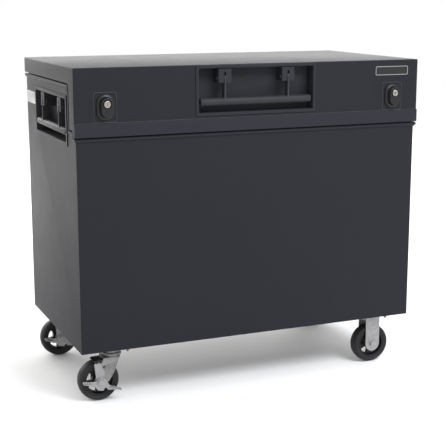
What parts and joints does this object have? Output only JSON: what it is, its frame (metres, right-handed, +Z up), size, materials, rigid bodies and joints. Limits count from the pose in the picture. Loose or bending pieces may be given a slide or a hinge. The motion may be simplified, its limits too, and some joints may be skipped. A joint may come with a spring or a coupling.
{
  "type": "rolling tool chest",
  "caption": "Steel site chest on rigid and braked swivel casters, with a drop-front lid on gas struts, recessed drop handles and key locks.",
  "frame": {"origin": "on the floor, under the centre of the whole chest's bounding box", "axes": "+Z up, +X to the right of someone facing the front, the front faces -Y"},
  "size_m": [1.335, 0.7426, 1.1905],
  "materials": {
    "powder_coat": "satin charcoal powder coat on sheet steel",
    "badge": "semi-gloss black plate with a light border",
    "black_coat": "satin black paint",
    "chrome": "bright plating",
    "steel": "bright plated steel",
    "zinc": "bright zinc plating, slightly cloudy",
    "rubber": "matt black rubber",
    "wheel_core": "black painted casting"
  },
  "bodies": {
    "chest": {"body_front_panel": "powder_coat", "body_back_panel": "powder_coat", "body_side_left": "powder_coat", "body_side_right": "powder_coat", "body_floor": "powder_coat", "body_rim_left": "powder_coat", "body_rim_right": "powder_coat", "left_handle_pan": "powder_coat", "right_handle_pan": "powder_coat", "hinge_body_leaf": "powder_coat", "hinge_pin": "steel", "left_strut_foot_bracket": "steel", "right_strut_foot_bracket": "steel", "front_rigid_fork": "zinc", "front_rigid_axle": "zinc", "rear_rigid_fork": "zinc", "rear_rigid_axle": "zinc", "front_swivel_plate": "zinc", "rear_swivel_plate": "zinc"},
    "lid": {"lid_top_panel": "powder_coat", "lid_front_panel": "powder_coat", "lid_back_flange": "powder_coat", "lid_side_left": "powder_coat", "lid_side_right": "powder_coat", "front_handle_pan": "powder_coat", "badge_plate": "badge", "left_lock_shroud": "black_coat", "right_lock_shroud": "black_coat", "left_lock_case": "steel", "right_lock_case": "steel", "hinge_lid_leaf": "powder_coat", "left_strut_head_bracket": "steel", "right_strut_head_bracket": "steel"},
    "front_grip": {"front_handle": "powder_coat"},
    "left_grip": {"left_handle": "powder_coat"},
    "right_grip": {"right_handle": "powder_coat"},
    "left_barrel": {"left_lock_barrel": "chrome"},
    "left_bolt": {"left_lock_bolt": "steel"},
    "left_cylinder": {"left_strut_cylinder": "black_coat"},
    "left_rod": {"left_strut_rod": "chrome"},
    "right_barrel": {"right_lock_barrel": "chrome"},
    "right_bolt": {"right_lock_bolt": "steel"},
    "right_cylinder": {"right_strut_cylinder": "black_coat"},
    "right_rod": {"right_strut_rod": "chrome"},
    "front_rigid_wheel": {"front_rigid_core": "wheel_core", "front_rigid_tyre": "rubber"},
    "front_fork": {"front_swivel_fork": "zinc", "front_swivel_axle": "zinc"},
    "front_swivel_wheel": {"front_swivel_core": "wheel_core", "front_swivel_tyre": "rubber"},
    "front_strap": {"front_brake_strap": "zinc"},
    "front_lever": {"front_brake_lever": "zinc"},
    "rear_rigid_wheel": {"rear_rigid_core": "wheel_core", "rear_rigid_tyre": "rubber"},
    "rear_fork": {"rear_swivel_fork": "zinc", "rear_swivel_axle": "zinc"},
    "rear_swivel_wheel": {"rear_swivel_core": "wheel_core", "rear_swivel_tyre": "rubber"},
    "rear_strap": {"rear_brake_strap": "zinc"},
    "rear_lever": {"rear_brake_lever": "zinc"}
  },
  "joints": [
    {"name": "lid_hinge", "type": "hinge", "parent": "chest", "child": "lid", "pos_m": [0, 0.36555, 1.1305], "axis": [-1, 0, 0], "range_deg": [0, 75]},
    {"name": "front_handle_swing", "type": "hinge", "parent": "lid", "child": "front_grip", "pos_m": [0.0024, -0.33575, 1.142], "axis": [-1, 0, 0], "range_deg": [-8, 90]},
    {"name": "left_handle_swing", "type": "hinge", "parent": "chest", "child": "left_grip", "pos_m": [-0.6517, -0.0095, 1.0449], "axis": [0, 1, 0], "range_deg": [-8, 90]},
    {"name": "right_handle_swing", "type": "hinge", "parent": "chest", "child": "right_grip", "pos_m": [0.6517, -0.0095, 1.0449], "axis": [0, -1, 0], "range_deg": [-8, 90]},
    {"name": "left_key_turn", "type": "hinge", "parent": "lid", "child": "left_barrel", "pos_m": [-0.558, -0.34475, 1.069], "axis": [0, 1, 0], "range_deg": [0, 90]},
    {"name": "left_bolt_slide", "type": "slide", "parent": "lid", "child": "left_bolt", "axis": [0, 0, -1], "range_m": [0, 0.022]},
    {"name": "left_strut_swing", "type": "hinge", "parent": "chest", "child": "left_cylinder", "pos_m": [-0.618, -0.2225, 1.0935], "axis": [1, 0, 0], "range_deg": [0, 13.94]},
    {"name": "left_strut_slide", "type": "slide", "parent": "left_cylinder", "child": "left_rod", "axis": [0, 0.9876, 0.1567], "range_m": [0, 0.2157]},
    {"name": "right_key_turn", "type": "hinge", "parent": "lid", "child": "right_barrel", "pos_m": [0.558, -0.34475, 1.069], "axis": [0, 1, 0], "range_deg": [0, 90]},
    {"name": "right_bolt_slide", "type": "slide", "parent": "lid", "child": "right_bolt", "axis": [0, 0, -1], "range_m": [0, 0.022]},
    {"name": "right_strut_swing", "type": "hinge", "parent": "chest", "child": "right_cylinder", "pos_m": [0.618, -0.2225, 1.0935], "axis": [1, 0, 0], "range_deg": [0, 13.94]},
    {"name": "right_strut_slide", "type": "slide", "parent": "right_cylinder", "child": "right_rod", "axis": [0, 0.9876, 0.1567], "range_m": [0, 0.2157]},
    {"name": "front_rigid_roll", "type": "hinge", "parent": "chest", "child": "front_rigid_wheel", "pos_m": [0.5325, -0.2685, 0.075], "axis": [0, 1, 0], "continuous": true},
    {"name": "front_swivel", "type": "hinge", "parent": "chest", "child": "front_fork", "pos_m": [-0.5325, -0.2685, 0.165], "axis": [0, 0, 1], "continuous": true},
    {"name": "front_swivel_roll", "type": "hinge", "parent": "front_fork", "child": "front_swivel_wheel", "pos_m": [-0.5845, -0.2685, 0.075], "axis": [0, 1, 0], "continuous": true},
    {"name": "front_brake_pedal", "type": "hinge", "parent": "front_fork", "child": "front_lever", "pos_m": [-0.5845, -0.2685, 0.075], "axis": [0, 1, 0], "range_deg": [0, 25]},
    {"name": "front_brake_pull", "type": "slide", "parent": "front_fork", "child": "front_strap", "axis": [0.3007, 0, -0.9537], "range_m": [0, 0.002]},
    {"name": "rear_rigid_roll", "type": "hinge", "parent": "chest", "child": "rear_rigid_wheel", "pos_m": [0.5325, 0.2835, 0.075], "axis": [0, 1, 0], "continuous": true},
    {"name": "rear_swivel", "type": "hinge", "parent": "chest", "child": "rear_fork", "pos_m": [-0.5325, 0.2835, 0.165], "axis": [0, 0, 1], "continuous": true},
    {"name": "rear_swivel_roll", "type": "hinge", "parent": "rear_fork", "child": "rear_swivel_wheel", "pos_m": [-0.5845, 0.2835, 0.075], "axis": [0, 1, 0], "continuous": true},
    {"name": "rear_brake_pedal", "type": "hinge", "parent": "rear_fork", "child": "rear_lever", "pos_m": [-0.5845, 0.2835, 0.075], "axis": [0, 1, 0], "range_deg": [0, 25]},
    {"name": "rear_brake_pull", "type": "slide", "parent": "rear_fork", "child": "rear_strap", "axis": [0.3007, 0, -0.9537], "range_m": [0, 0.002]}
  ],
  "couplings": [
    {"joint": "left_bolt_slide", "follows": "left_key_turn", "m_per_rad": 0.014},
    {"joint": "left_strut_swing", "follows": "lid_hinge", "ratio": 0.18577},
    {"joint": "left_strut_slide", "follows": "lid_hinge", "m_per_rad": 0.16469},
    {"joint": "right_bolt_slide", "follows": "right_key_turn", "m_per_rad": 0.014},
    {"joint": "right_strut_swing", "follows": "lid_hinge", "ratio": 0.18577},
    {"joint": "right_strut_slide", "follows": "lid_hinge", "m_per_rad": 0.16469},
    {"joint": "front_brake_pull", "follows": "front_brake_pedal", "m_per_rad": 0.00458},
    {"joint": "rear_brake_pull", "follows": "rear_brake_pedal", "m_per_rad": 0.00458}
  ]
}
